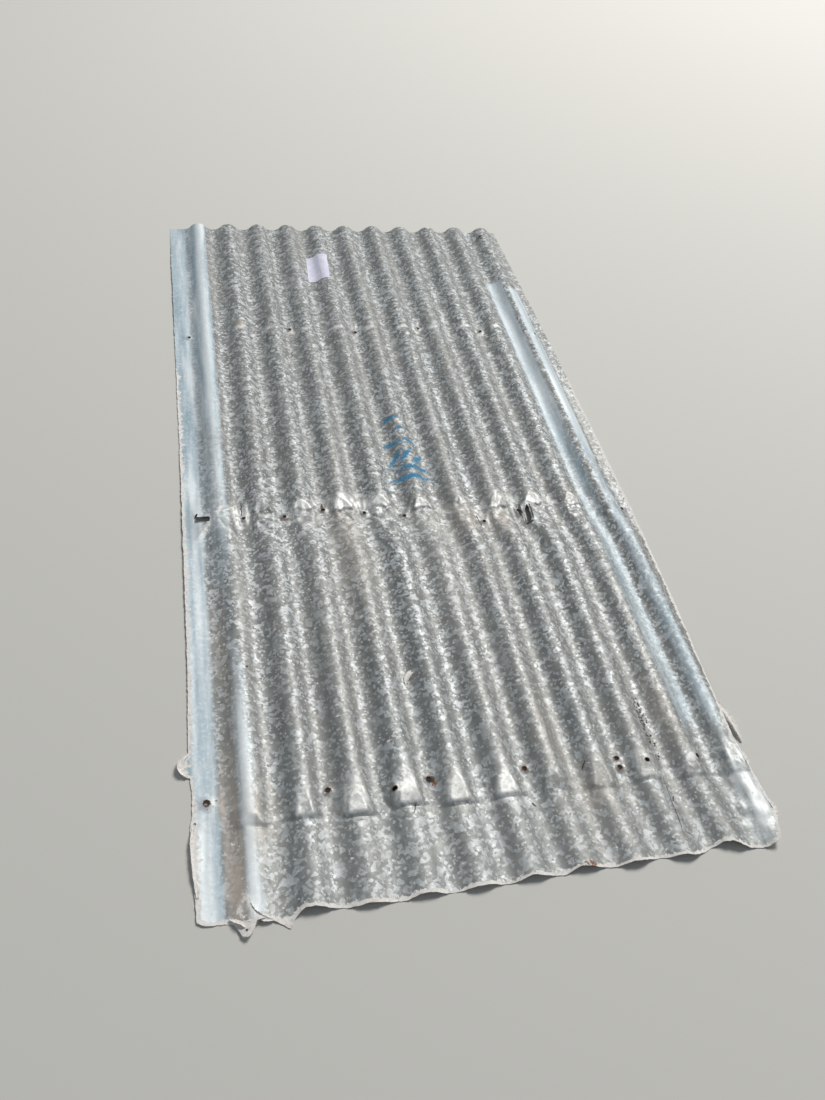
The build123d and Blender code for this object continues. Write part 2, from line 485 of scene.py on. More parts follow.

# Dents beaten into the crests beside the upper nails, and long wrinkles there; painted highlight lies on
# each dent's far slope and along each wrinkle
for x, y, wide, long, lean, fall in (
    (147, 470, 12, 8, 0, 2.4), (214, 470, 13, 7, 0, 3.2), (272, 474, 8, 8, 20, 2.0),
    (297, 476, 10, 7, 0, 2.8), (371, 470, 14, 7, 0, 3.2), (447, 474, 11, 7, 0, 3.0),
    (524, 470, 14, 7, 0, 3.6), (600, 474, 12, 7, 0, 2.6), (676, 470, 13, 7, 0, 3.2),
    (710, 476, 7, 7, 0, 1.6), (758, 474, 10, 7, 0, 2.0),
):
    dent -= fall * hump(x, y, wide, long, lean)
    raise_to(scuff_and_highlight, 0.3 * fall * hump(x, y - 4, wide * 0.8, 4.5, lean))
for start, end, rise in (
    ((421, 432), (413, 474), 2.6), ((410, 440), (411, 472), 1.6), ((573, 428), (561, 470), 3.0),
    ((560, 436), (557, 468), 2.2), ((268, 440), (264, 460), 1.8), ((726, 458), (722, 476), 2.0),
):
    dent += rise * fold(start, end, 2.6)
    raise_to(scuff_and_highlight, 0.3 * rise * fold(start, end, 2.2))
dent -= 1.6 * fold((567, 432), (559, 466), 2.6)
dent -= 1.4 * fold((416, 436), (412, 470), 2.2)

# Each drawn nail has pulled up a burr, and in the middle row two wrinkles run from it to the crests beside
# it, with painted highlight along them
for hole, (place, at, size) in zip(hole_centres, nail_holes):
    burr = low_burr if place in low_burr_places else full_burr
    dent += burr * hump(*hole, size + burr_width, size + burr_width)
    if bruise_start < at < bruise_end:
        for side in (-1, 1):
            spread = draw.uniform(14, 24)
            foot = hole + (side * 5, -4)
            wrinkle = fold(foot, hole + (side * spread, -draw.uniform(28, 40)), 2.4)
            dent += draw.uniform(1.2, 2.0) * wrinkle
            raise_to(scuff_and_highlight, 0.45 * wrinkle)

# Creases fan out over each cut slope, from the crest down to the foot of the cut
for crest in range(waves):
    spot = valley(crest + 0.5, bruise_foot + 2)
    for side in (-1.0, -0.45, 0.1, 0.6, 1.0):
        foot = spot + (side * 17 + draw.uniform(-3, 3), 0)
        head = spot + (side * 5 + draw.uniform(-2, 2), draw.uniform(-26, -16))
        dent += draw.uniform(-1.2, 1.0) * fold(head, foot, draw.uniform(2.0, 3.2))

# The larger crumples of the middle row, many small ones, and the places rubbed most there, with painted
# highlight laid on them as rubbed metal
for start, end, rise, soft in (
    ((101, 1036), (104, 1092), 4.2, 3.6), ((121, 1034), (119, 1090), 3.8, 3.6),
    ((84, 1064), (100, 1040), 2.6, 3.4), ((292, 1030), (318, 1058), 2.4, 3.4),
    ((288, 1062), (306, 1028), 2.2, 3.4), ((306, 1028), (334, 1040), 2.0, 3.4),
    ((318, 1066), (330, 1024), 2.0, 3.2), ((340, 1070), (322, 1036), 1.8, 3.0),
    ((344, 1072), (346, 1034), 1.9, 3.0), ((362, 1058), (394, 1034), 2.0, 3.6),
    ((372, 1034), (398, 1062), 1.6, 3.4), ((604, 1072), (612, 1040), 2.2, 3.2),
    ((624, 1078), (628, 1036), 2.4, 3.2), ((640, 1082), (642, 1044), 2.0, 3.0),
    ((604, 1044), (640, 1038), 1.8, 3.4), ((56, 1078), (26, 1128), 2.4, 5.0),
    ((54, 1068), (104, 1056), 2.0, 3.6), ((24, 1056), (32, 1074), 1.6, 2.6),
):
    dent += rise * fold(start, end, soft)
    raise_to(scuff_and_highlight, 0.32 * rise * fold(start, end, soft * 0.8))
for _ in range(crumples):
    x, y, turn = draw.uniform(60, 840), draw.normal(1076, 14), draw.uniform(0, math.pi)
    reach = np.array((math.cos(turn), math.sin(turn))) * draw.uniform(6, 16)
    crumple = fold((x, y) - reach, (x, y) + reach, draw.uniform(2.0, 3.6))
    dent += draw.uniform(-1.3, 1.3) * crumple
    raise_to(scuff_and_highlight, draw.uniform(0, 0.4) * crumple)
for x, y, wide, long, strength in (
    (98, 1056, 9, 14, 0.8), (119, 1064, 7, 20, 0.7), (334, 1048, 54, 13, 0.75), (624, 1054, 30, 12, 0.55),
    (694, 1056, 26, 8, 0.5), (225, 1086, 26, 10, 0.25), (520, 1076, 40, 10, 0.15),
):
    raise_to(scuff_and_highlight, strength * hump(x, y, wide, long))

# The metal round the tear is lifted, and creased along both sides of it
dent += 8.4 * hump(*(tear_middle + (3, -2)), 19, 38)
dent += 2.6 * fold(tear_middle + (-8, -26), tear_middle + (-3, 22), 3.0)
dent += 1.6 * fold(tear_middle + (-16, -40), tear_middle + (-14, 6), 3.0)
dent += 1.4 * fold(tear_middle + (15, -30), tear_middle + (13, 16), 3.4)

# Above and on the crease: two folded edges and a cut on each nose, dents, lines beaten along the waves, the
# folds of the two lower corners, and small crumples. Painted highlight lies along the folded edges, just
# above each nose's step, over each nose, and on the folds and crumples
for crest, half, reach, strength in (
    (1, 12, 44, 0.6), (2, 21, 50, 0.9), (3, 20, 54, 1.0), (4, 18, 46, 0.8), (5, 17, 34, 0.9),
    (6, 9, 40, 0.2), (7, 14, 60, 0.3), (8, 17, 52, 0.5), (9, 11, 42, 0.2), (10, 16, 40, 0.5),
):
    foot = valley(crest + 0.5, crease + 1) + (0, crease_slips[crest])
    for side in (-1, 1):
        edge = fold(foot + (side * 0.5 * half, -reach), foot + (side * half, 0), 3.2)
        dent += 2.0 * strength * edge
        raise_to(scuff_and_highlight, 0.9 * strength * edge)
    dent -= 1.4 * strength * fold(foot + (-half, 4), foot + (half, 4), 2.4)
    raise_to(scuff_and_highlight, 0.8 * strength * fold(foot + (-half, -3), foot + (half, -3), 2.4))
    raise_to(scuff_and_highlight, 0.4 * strength * hump(*(foot + (3, -30)), half * 0.8, 34))
dent -= 1.1 * nose_shine * np.exp(-(((to_crease - 2) / 2.6) ** 2))
for x, y, wide, long, lean, rise in (
    (300, 1668, 18, 26, 0, 2.4), (318, 1690, 9, 10, 0, -2.0), (285, 1690, 8, 9, 0, -1.8),
    (232, 1640, 10, 14, 0, -1.4), (420, 1630, 12, 12, 0, -1.0), (560, 1650, 9, 22, 0, 1.3),
    (356, 1466, 10, 8, 30, 1.6), (690, 1650, 14, 10, 0, -1.2), (842, 1690, 20, 26, 0, 2.0),
    (238, 1704, 24, 6, 0, -2.2), (278, 1672, 5, 24, 0, -1.8), (330, 1656, 5, 26, 0, 1.6),
):
    dent += rise * hump(x, y, wide, long, lean)
for x, y, reach, lean, rise in (
    (345, 1700, 36, 0, 1.2), (283, 1660, 26, 2, 1.0), (505, 1712, 12, 8, -0.8),
    (728, 1731, 9, 30, -1.0), (852, 1705, 30, -14, 1.6), (862, 1690, 14, 60, 1.2),
    (458, 1740, 40, 1, 0.7), (232, 1752, 46, -1, 0.6), (604, 1744, 44, 2, 0.7),
):
    away = reach * np.array((math.sin(math.radians(lean)), math.cos(math.radians(lean))))
    dent += rise * fold((x, y) - away, (x, y) + away, 3.2)
for start, end, rise in (
    ((842, 1655), (856, 1679), 1.6), ((856, 1679), (861, 1706), 1.4), ((838, 1692), (830, 1746), -1.6),
    ((846, 1700), (852, 1772), 1.5), ((860, 1716), (866, 1780), 1.2), ((834, 1770), (858, 1802), 1.3),
    ((66, 1794), (55, 1828), 1.5), ((67, 1795), (73, 1818), 1.8), ((73, 1817), (81, 1834), 1.8),
    ((8, 1690), (6, 1780), 1.3),
):
    dent += rise * fold(start, end, 2.6)
    raise_to(scuff_and_highlight, 0.6 * fold(start, end, 2.2))
for spot in range(crumples):
    in_corner = spot >= first_in_corner
    x, y, turn = draw.uniform(60, 860), draw.normal(crease - 14, 18), draw.uniform(0, math.pi)
    if in_corner:
        x, y = draw.uniform(822, 874), draw.uniform(1640, 1820)
    reach = np.array((math.cos(turn), math.sin(turn))) * draw.uniform(5, 14)
    soft = draw.uniform(2.4, 4.0) * (1.6 if in_corner else 1)
    crumple = fold((x, y) - reach, (x, y) + reach, soft)
    dent += draw.uniform(-1.2, 1.2) * (2.0 if in_corner else 1) * crumple
    raise_to(scuff_and_highlight, draw.uniform(0, 0.35) * crumple)

# The left lap has sprung up off the ground, most at the torn hole
sprung = 1 - smooth_step(0, left_lap + 6, across)
dent += sprung * (2.4 + 1.2 * np.sin(along / 150)) * smooth_step(0, 200, along)
dent += 8.6 * hump(38, 1077, 23, 42)

# Handling has left the whole sheet faintly uneven, and its corroded rims are lumpy
dent += 0.28 * np.sin(along / 61 + 2.2 * wave) * np.sin(along / 143 + across / 90)
rim = np.exp(-((edge_distance / 4.0) ** 2)) * smooth_step(300, 800, along)
dent += rim * (0.5 + draw.uniform(-0.3, 0.5, len(rim)))

# The lower right corner is scratched along its waves
raise_to(scuff_and_highlight, 0.55 * hump(856, 1750, 20, 80) * (0.7 + 0.5 * np.sin(across / 2.3 + along / 17)))
attach(blank, "flattening", flattening)
attach(blank, "ceiling", ceiling)
attach(blank, "dent", dent)
attach(blank, "scuff_and_highlight", scuff_and_highlight)


# The zones of the surface: laps that another sheet once covered stay pale and clean, cut edges have turned
# to white zinc oxide, and rust has started where nails broke the zinc, darkened at the holes into painted
# shade.
bright_lap = (1 - smooth_step(80, 92, across)) * (1 - 0.55 * np.exp(-(((across - 43) / 8) ** 2)))
outer_lap = 1 - smooth_step(34, 48, across)
left_strip = bright_lap * (1 - (0.35 * smooth_step(600, 900, along) + 0.65 * smooth_step(900, 1560, along))
                           * (1 - outer_lap))
right_strips = np.maximum(
    smooth_step(786, 790, across) * (1 - smooth_step(818, 824, across))
    * smooth_step(262, 268, along - across * 0.3 + 246),
    smooth_step(832, 835, across) * (1 - smooth_step(858, 862, across)) * smooth_step(300, 306, along),
) * (1 - 0.45 * smooth_step(600, 1100, along)) * (1 - smooth_step(1560, 1680, along))
worn_corner = 0.75 * hump(856, 1740, 28, 96) * (1 + 0.4 * np.sin(across / 2.6 + along / 31))
low_streak = np.exp(-(((across - 80) / 11) ** 2)) * smooth_step(1250, 1600, along)
attach(blank, "clean", np.maximum.reduce([left_strip, right_strips, worn_corner, low_streak]))
outer_streak = 0.3 * outer_lap * (1 + np.sin(across / 2.7 + 0.8 * np.sin(along / 260)))
outer_streak *= smooth_step(850, 1100, along) * (1 - smooth_step(1380, 1560, along))
crest_streak = 0.6 * np.exp(-(((across - 70) / 10) ** 2)) * (1 - smooth_step(900, 1400, along))
corner_bloom = outer_lap * smooth_step(1610, 1700, along) * (1 - smooth_step(21, 32, across))
corner_bloom *= 0.75 + 0.25 * np.sin(across / 1.9 + along / 90)
strip_streak = 0.35 * right_strips * (1 - smooth_step(700, 1000, along))
attach(blank, "bleach", np.maximum.reduce(
    [crest_streak, corner_bloom, low_streak, outer_streak, strip_streak, 1.4 * worn_corner]))

# Brown stain along the first wave's left slope and in patches; its pale colour in the material is partly
# painted light on that slope
stain = smooth_step(40, 50, across) * (1 - smooth_step(60, 76, across))
stain *= 0.4 * smooth_step(1180, 1330, along) + 0.5 * smooth_step(1500, 1720, along)
for x, y, wide, long, strength in (
    (148, 458, 10, 14, 0.6), (216, 464, 9, 16, 0.4), (300, 1180, 30, 160, 0.35), (545, 1105, 44, 40, 0.4),
    (612, 1118, 16, 26, 0.7), (760, 1560, 16, 90, 0.4), (96, 1690, 22, 60, 0.35), (270, 478, 20, 8, 0.4),
    (44, 1658, 12, 24, 0.9), (768, 1058, 18, 14, 0.5), (560, 1600, 20, 70, 0.35), (612, 1705, 30, 40, 0.4),
):
    raise_to(stain, strength * hump(x, y, wide, long))
attach(blank, "stain", stain)

side_oxide = np.where(across < 400, smooth_step(520, 700, along), smooth_step(560, 760, along))
lower_oxide = smooth_step(1700, 1800, along) * (1 - 0.25 * smooth_step(300, 500, across))
oxide = np.exp(-((edge_distance / 5.5) ** 2)) * np.maximum(0.8 * side_oxide, lower_oxide)
raise_to(oxide, smooth_step(1829, 1836, along) * (across < 150))
raise_to(oxide, 0.8 * hump(0, 1700, 7, 40))
raise_to(oxide, 0.9 * hump(-12, 1590, 12, 18))
for start, end in (
    ((66, 1794), (55, 1828)), ((67, 1795), (73, 1818)), ((73, 1817), (81, 1834)), ((842, 1655), (856, 1679)),
    ((856, 1679), (861, 1703)),
):
    raise_to(oxide, 0.75 * fold(start, end, 2.6))
attach(blank, "oxide", oxide)

# Rust round each nail hole and along the tear, strongest at the rim: partly real rust, partly painted shade
# that makes the openings read dark
rust = np.zeros(len(across))
for hole, (_, at, size) in zip(hole_centres, nail_holes):
    beyond = np.maximum(np.hypot(across - hole[0], along - hole[1]) - size, 0)
    halo = 2.4 if at > bruise_end else 1.5
    raise_to(rust, 0.85 * np.exp(-((beyond / halo) ** 2)))
for x, y, wide, long, strength in (
    (361, 1659, 7, 8, 0.65), (36, 1649, 5, 3.4, 0.5), (560, 1819, 19, 6, 0.65), (236, 1830, 10, 4, 0.5),
    (194, 1080, 8, 6, 0.5), (344, 1076, 7, 4, 0.4),
):
    raise_to(rust, strength * hump(x, y, wide, long))
raise_to(rust, 0.5 * fold((22, 1657), (24, 1670), 2.4))
raise_to(rust, 0.7 * fold(tear_middle + (-12, -18), tear_middle + (-4, 20), 2.2))
attach(blank, "rust", rust)


# Galvanised steel, hot-dipped and long out in the weather: the zinc has frozen into flat
# crystals, each of its own grey and its own tilt, under a thin dull patina and brown dust.
flake = 8.5 * mm
fine_flake = 4.0 * mm
border_bend = 3.5 * mm
crystal_tilt = 0.03
grit = 0.8 * mm
polish_start = -0.35
polish_end = -0.75


def colour(code):
    """An sRGB hex colour, turned to linear light."""
    parts = [int(code[at:at + 2], 16) / 255 for at in (1, 3, 5)]
    return (*[c / 12.92 if c <= 0.04045 else ((c + 0.055) / 1.055) ** 2.4 for c in parts], 1.0)


def new_material(name):
    """A material with only its Principled shader and its output, and that shader."""
    made = bpy.data.materials.new(name)
    made.use_nodes = True
    return made, made.node_tree, made.node_tree.nodes["Principled BSDF"]


def blend_colours(share, under, over):
    """Lays one colour over another by a share from 0 to 1."""
    over = colour(over) if isinstance(over, str) else over
    mix = put(tree, "ShaderNodeMix", {0: share, 6: under, 7: over}, data_type="RGBA")
    return mix.outputs[2]


def ramp(value, stops):
    """A value turned to colours or greys by its stops."""
    made = put(tree, "ShaderNodeValToRGB", {"Fac": value})
    made.color_ramp.elements.remove(made.color_ramp.elements[1])
    for number, (place, shade) in enumerate(stops):
        stop = made.color_ramp.elements[0] if number == 0 else made.color_ramp.elements.new(place)
        stop.position = place
        stop.color = colour(shade) if isinstance(shade, str) else (shade, shade, shade, 1)
    return made.outputs["Color"]


spangled, tree, metal = new_material("weathered_spangled_zinc")
place = put(tree, "ShaderNodeTexCoord").outputs["Object"]
worn = {
    name: put(tree, "ShaderNodeAttribute", attribute_name=name).outputs["Fac"]
    for name in ("clean", "bleach", "stain", "scuff_and_highlight", "oxide", "rust")
}


def noise(size, detail=3.0, where=place, roughness=0.55, output="Fac"):
    """Soft random grey, or colour, as large as size, in metres."""
    return put(tree, "ShaderNodeTexNoise", {
        "Vector": where, "Scale": 1 / size, "Detail": detail, "Roughness": roughness,
    }).outputs[output]


def cells(size, where=place):
    """Crystals or spots, as large as size, in metres."""
    return put(tree, "ShaderNodeTexVoronoi", {"Vector": where, "Scale": 1 / size}).outputs


def vectors(operation, *values):
    """A Vector Math node's result."""
    return put(tree, "ShaderNodeVectorMath", dict(enumerate(values)), operation=operation).outputs[0]


def times(one, other):
    """The product of two values."""
    return sums(tree, "MULTIPLY", one, other)


# Crystals with slightly bent borders, of many greys: about a quarter of them show as pale
# angular flakes, and finer ones lie between them
bend = vectors("SUBTRACT", noise(flake, output="Color"), (0.5, 0.5, 0.5))
bent = vectors("ADD", place, vectors("MULTIPLY", bend, (border_bend,) * 3))
crystals = cells(flake, bent)["Color"]
small_crystals = cells(fine_flake, bent)["Color"]
crystal = put(tree, "ShaderNodeSeparateColor", {"Color": crystals}).outputs
small = put(tree, "ShaderNodeSeparateColor", {"Color": small_crystals}).outputs
zinc = ramp(crystal[0], [
    (0.0, "#767775"), (0.5, "#8c8d8a"), (0.75, "#9a9b98"), (0.77, "#afb2b2"), (1.0, "#ced2d3"),
])
dark = ramp(small[1], [(0.8, 0.0), (0.84, 0.3), (1.0, 0.6)])
pale = ramp(small[0], [(0.78, 0.0), (0.8, 0.5), (1.0, 0.95)])
cloudy = ramp(noise(26 * mm, 6.0, roughness=0.62), [(0.4, 0.0), (0.7, 0.5)])
zinc = blend_colours(dark, zinc, "#606263")
zinc = blend_colours(pale, zinc, "#d8dcde")
zinc = blend_colours(cloudy, zinc, "#93938f")

# The lower end has been handled and trodden most: its crystals have greyed more evenly, and
# its waves shine more
lengthways = put(tree, "ShaderNodeSeparateXYZ", {"Vector": place}).outputs["Y"]
polished = put(tree, "ShaderNodeMapRange", {
    "Value": lengthways, "From Min": polish_start, "From Max": polish_end,
}).outputs["Result"]
zinc = blend_colours(times(polished, 0.3), zinc, "#989a98")

# Dust lies in long streaks down the sheet, and hides part of the crystals
streaked = put(tree, "ShaderNodeMapping", {"Vector": place, "Scale": (1.0, 0.1, 1.0)}).outputs[0]
dust = ramp(noise(50 * mm, 6.0, streaked), [(0.42, 0.0), (0.68, 0.45)])
zinc = blend_colours(dust, zinc, "#989590")

# Clean laps keep a pale blue bloom in long streaks, with few crystals showing
bloom = ramp(noise(22 * mm, 6.0, streaked), [(0.34, "#98abb5"), (0.5, "#b8c6cd"), (0.66, "#dfe6e9")])
bloom = blend_colours(times(pale, 0.22), bloom, "#e3eaed")
bloom = blend_colours(times(worn["bleach"], 0.85), bloom, "#f4f6f5")
edge_of_lap = sums(tree, "SUBTRACT", noise(9 * mm, 4.0, streaked), 0.5)
lap = sums(tree, "ADD", worn["clean"], times(edge_of_lap, sums(
    tree, "MINIMUM", times(worn["clean"], 4.0), 1.0)))
lap = times(ramp(lap, [(0.15, 0.0), (0.8, 1.0)]), 0.92)
zinc = blend_colours(lap, zinc, bloom)

# Brown stains of dust and old rust, in a colour lighter than the stains, as painted light that keeps the
# first wave's shaded left slope looking lit
stain_painted_lit = ramp(noise(16 * mm, 5.0, streaked), [(0.34, 0.1), (0.6, 0.9)])
stain_painted_lit = times(worn["stain"], stain_painted_lit)
zinc = blend_colours(stain_painted_lit, zinc, "#c9b9a9")

# Metal rubbed bright in the folds, with painted highlight on the cut facets, noses, dents and wrinkles
bright = ramp(noise(7 * mm, 5.0), [(0.34, 0.5), (0.5, 1.0)])
bright = times(worn["scuff_and_highlight"], bright)
zinc = blend_colours(bright, zinc, "#f8f6f1")


def dabs(spots, edge):
    """Where any of a few oval dabs lies: each is its place, half sizes and turn, in mm and degrees."""
    found = None
    for x, y, long, wide, turn in spots:
        dab = put(tree, "ShaderNodeMapping", {
            "Vector": bent, "Location": metres(x, y),
            "Rotation": (0, 0, math.radians(turn)), "Scale": (long * mm, wide * mm, 1.0),
        }, vector_type="TEXTURE").outputs[0]
        flat = vectors("MULTIPLY", dab, (1, 1, 0))
        reach = put(tree, "ShaderNodeVectorMath", {0: flat}, operation="LENGTH").outputs["Value"]
        strength = sums(tree, "SUBTRACT", edge, reach)
        found = strength if found is None else sums(tree, "MAXIMUM", found, strength)
    return found


# Blue marking crayon, rubbed on in a few worn strokes, on the upper face alone
crayon = dabs([
    (450, 988, 35, 6.4, 2), (460, 960, 29, 5.6, -2), (428, 928, 20, 4.6, 54), (450, 924, 20, 5.0, 56),
    (474, 932, 16, 4.6, 52), (430, 882, 18, 4.8, 4), (467, 878, 11, 4.2, -16), (450, 840, 8, 4.0, 10),
    (438, 804, 14, 4.8, 6),
], edge=1.5)
rubbed = sums(tree, "MULTIPLY_ADD", noise(3.0 * mm, 4.0), 3.4, -1.7)
crayon = ramp(sums(tree, "ADD", crayon, rubbed), [(0.1, 0.0), (0.7, 0.88)])
turned = put(tree, "ShaderNodeTexCoord").outputs["Normal"]
upper = put(tree, "ShaderNodeSeparateXYZ", {"Vector": turned}).outputs["Z"]
crayon = times(crayon, sums(tree, "GREATER_THAN", upper, 0.0))
zinc = blend_colours(crayon, zinc, "#2f88b4")

# White oxide eats in from the edges, and rust shows where the zinc is gone; its near-black rim round the
# holes and the tear is partly painted shade, so that they read dark
eaten = sums(tree, "ADD", worn["oxide"], sums(
    tree, "MULTIPLY_ADD", noise(9 * mm, 6.0), 2.0, -1.0))
eaten = ramp(eaten, [(0.3, 0.0), (0.42, 1.0)])
chalk = ramp(noise(4 * mm, 4.0), [(0.3, "#d6ccc3"), (0.45, "#eee9e3"), (0.7, "#fbf9f6")])
zinc = blend_colours(eaten, zinc, chalk)
rusty = sums(tree, "ADD", worn["rust"], sums(
    tree, "MULTIPLY_ADD", noise(3 * mm, 4.0), 0.9, -0.5))
rusty = ramp(rusty, [(0.3, 0.0), (0.5, 0.95)])
red = ramp(noise(2.5 * mm, 3.0), [(0.35, "#5a3b2a"), (0.5, "#8a5637"), (0.65, "#b87a52")])
burnt_rim_and_shade = ramp(worn["rust"], [(0.6, 0.0), (0.72, 1.0)])
red = blend_colours(burnt_rim_and_shade, red, "#1d1713")
zinc = blend_colours(rusty, zinc, red)

# Black dirt in cracks and pits, and painted shade: thin dark lines beside the creases of the middle row and
# the crease, and dark dabs round the tear so that it reads as an opening; a trail in one valley, and
# pinholes here and there
grime_and_painted_shade = dabs([
    (107, 653, 2.6, 1.6, 10), (112, 501, 2.4, 1.5, 0), (258, 556, 11, 1.0, 84), (505, 1713, 5, 1.3, -50),
    (727, 1732, 6, 1.4, 60), (322, 1700, 9, 1.0, 70), (600, 1660, 8, 1.1, 60), (96, 1420, 2.2, 1.6, 0),
    (721, 1742, 55, 0.8, 86), (112, 1048, 20, 1.3, 88), (264, 1054, 13, 2.6, 84), (356, 1653, 7, 5, 20),
    (652, 1088, 18, 3.2, 80), (672, 1096, 20, 2.4, 86), (662, 1126, 8, 3.0, 20), (40, 1070, 12, 1.6, 4),
], edge=1.2)
grime_and_painted_shade = times(ramp(grime_and_painted_shade, [(0.1, 0.0), (0.35, 1.0)]), 0.85)
trail = dabs([(730, 1600, 70, 7, 90)], edge=1.0)
trail = times(sums(tree, "GREATER_THAN", trail, 0.0), sums(
    tree, "LESS_THAN", cells(5 * mm)["Distance"], 0.45))
pits = ramp(cells(46 * mm)["Distance"], [(0.016, 0.75), (0.026, 0.0)])
grime_and_painted_shade = sums(tree, "MAXIMUM", sums(tree, "MAXIMUM", grime_and_painted_shade, pits), times(trail, 0.8))
zinc = blend_colours(grime_and_painted_shade, zinc, "#3a322c")
tree.links.new(zinc, metal.inputs["Base Color"])

# Crayon, chalk, rust, dirt and the painted shade are dull; the metal is glossiest where its crystals lie
# bare
covered = sums(tree, "MAXIMUM", sums(tree, "MAXIMUM", eaten, rusty), sums(
    tree, "MAXIMUM", crayon, grime_and_painted_shade))
bare = sums(tree, "SUBTRACT", 1.0, covered)
shining = times(bare, sums(tree, "MULTIPLY_ADD", polished, 0.13, 0.27))
tree.links.new(shining, metal.inputs["Metallic"])
dull = sums(tree, "MULTIPLY_ADD", small[1], 0.1, 0.48)
dull = sums(tree, "MULTIPLY_ADD", covered, 0.45, dull)
dull = sums(tree, "MULTIPLY_ADD", lap, 0.08, dull)
tree.links.new(dull, metal.inputs["Roughness"])

# Each crystal lies at its own slight tilt, and grit roughens everything
tilt = vectors("ADD", crystals, small_crystals)
tilt = vectors("MULTIPLY", vectors("SUBTRACT", tilt, (1, 1, 1)), (crystal_tilt,) * 3)
facing = put(tree, "ShaderNodeNewGeometry").outputs["Normal"]
facing = vectors("NORMALIZE", vectors("ADD", facing, tilt))
rough = put(tree, "ShaderNodeBump", {
    "Strength": 0.35, "Distance": 0.25 * mm, "Height": noise(grit, 4.0), "Normal": facing,
})
tree.links.new(rough.outputs[0], metal.inputs["Normal"])


# The finished sheet: the blank rolled and dented by its tree, then given the gauge of the
# metal. It is one plain mesh, which stands for the one solid.
sharp_fold = math.radians(48)


def shape(piece, tree, keys, sizes):
    """Lets a tree of nodes shape a piece of the sheet's own metal."""
    work = piece.modifiers.new(tree.name, "NODES")
    work.node_group = tree
    for name, value in {**sizes, "Finish": spangled}.items():
        work[keys[name]] = value


def freeze(piece, thickness):
    """Gives a piece its thickness, and turns what its modifiers make into its own plain mesh."""
    skin = piece.modifiers.new("thickness", "SOLIDIFY")
    skin.thickness = thickness * mm
    skin.offset = 0.0
    graph = bpy.context.evaluated_depsgraph_get()
    graph.update()
    made = bpy.data.meshes.new_from_object(piece.evaluated_get(graph), depsgraph=graph)
    piece.modifiers.clear()
    piece.data = made
    made.shade_smooth()
    made.set_sharp_from_angle(angle=sharp_fold)


sheet = add_object("rolled_sheet", blank)
shape(sheet, rolling, roll_keys, roll_sizes)
freeze(sheet, gauge)
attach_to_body(sheet, "root")
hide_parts("corrugated_sheet")


# The torn slivers: where the rims have rusted thin, strips of the same metal have peeled off
# and curled, white with zinc oxide. Each is a line of points: across, along, height, breadth
# and how far it has rolled over, in mm and radians.
sliver_gauge = 0.5
sliver_oxide = 1.2
sliver_lines = [
    [(868, 1562, 6, 4, 0.0), (874, 1582, 9, 10, -0.2), (879, 1604, 10, 12, -0.3), (882, 1624, 8, 10, -0.3),
     (885, 1645, 4, 3, -0.1)],
    [(865, 1662, 8, 3, -0.2), (872, 1673, 11, 9, -0.4), (874, 1684, 9, 8, -0.1), (869, 1694, 7, 3, 0.0)],
    [(873, 1746, 7, 3, 0.0), (880, 1760, 9, 10, -0.4), (881, 1775, 8, 10, -0.5), (874, 1790, 5, 4, -0.3)],
    [(2, 1688, 4, 3, 0.0), (-1, 1712, 6, 6, -0.7), (0, 1742, 6, 7, -0.9), (2, 1768, 5, 6, -0.6),
     (4, 1792, 4, 3, 0.0)],
    [(-2, 1568, 5, 4, -0.2), (-12, 1580, 7, 9, -0.6), (-14, 1595, 6, 9, -0.8), (-4, 1606, 4, 4, -0.3)],
    [(67, 1797, 4, 2, 0.2), (71, 1810, 7, 6, 0.6), (78, 1824, 8, 8, 0.7), (90, 1833, 7, 7, 0.3),
     (102, 1835, 4, 3, 0.0)],
    [(44, 1826, 4, 3, 0.0), (58, 1834, 7, 8, -0.6), (72, 1838, 6, 8, 0.5), (84, 1830, 4, 4, 0.0)],
    [(366, 1449, 3, 3, 0.0), (359, 1457, 6, 12, 0.5), (353, 1466, 5, 9, 0.3), (350, 1477, 2, 2, 0.0)],
]
sliver_points = [point for line in sliver_lines for point in line]
sliver_ends = np.cumsum([len(line) for line in sliver_lines])
cuttings = bpy.data.meshes.new("torn_slivers")
cuttings.from_pydata(
    [metres(*point[:3]) for point in sliver_points],
    [(at, at + 1) for at in range(len(sliver_points) - 1) if at + 1 not in sliver_ends], [],
)
attach(cuttings, "breadth", np.array([point[3] for point in sliver_points]))
attach(cuttings, "roll", np.array([point[4] for point in sliver_points]))

# Each line becomes a strip of the metal: smoothed, made ragged along its sides, and rolled over
peel_sizes = {"Step": 1.5 * mm, "Raggedness": 0.5, "Grain": 3.0 * mm}
peeling, peel_keys, given, felt = new_tree("curl_a_sliver", peel_sizes, ("breadth", "roll"))
line = put(peeling, "GeometryNodeMeshToCurve", {"Mesh": given["Geometry"]}).outputs[0]
line = put(peeling, "GeometryNodeCurveSplineType", {"Curve": line}, spline_type="CATMULL_ROM").outputs[0]
line = put(peeling, "GeometryNodeResampleCurve", {"Curve": line}, mode="LENGTH")
peeling.links.new(given["Step"], line.inputs["Length"])
line = put(peeling, "GeometryNodeSetCurveNormal", {"Curve": line.outputs[0]}, mode="Z_UP").outputs[0]
line = put(peeling, "GeometryNodeSetCurveTilt", {"Curve": line, "Tilt": felt["roll"]}).outputs[0]
bite = put(peeling, "ShaderNodeTexNoise", {
    "Scale": sums(peeling, "DIVIDE", 1.0, given["Grain"]), "Detail": 2.0,
})
bite = sums(peeling, "MULTIPLY", sums(peeling, "SUBTRACT", bite.outputs[0], 0.5), given["Raggedness"])
half_breadth = sums(peeling, "MULTIPLY", felt["breadth"], sums(peeling, "ADD", bite, 0.5))
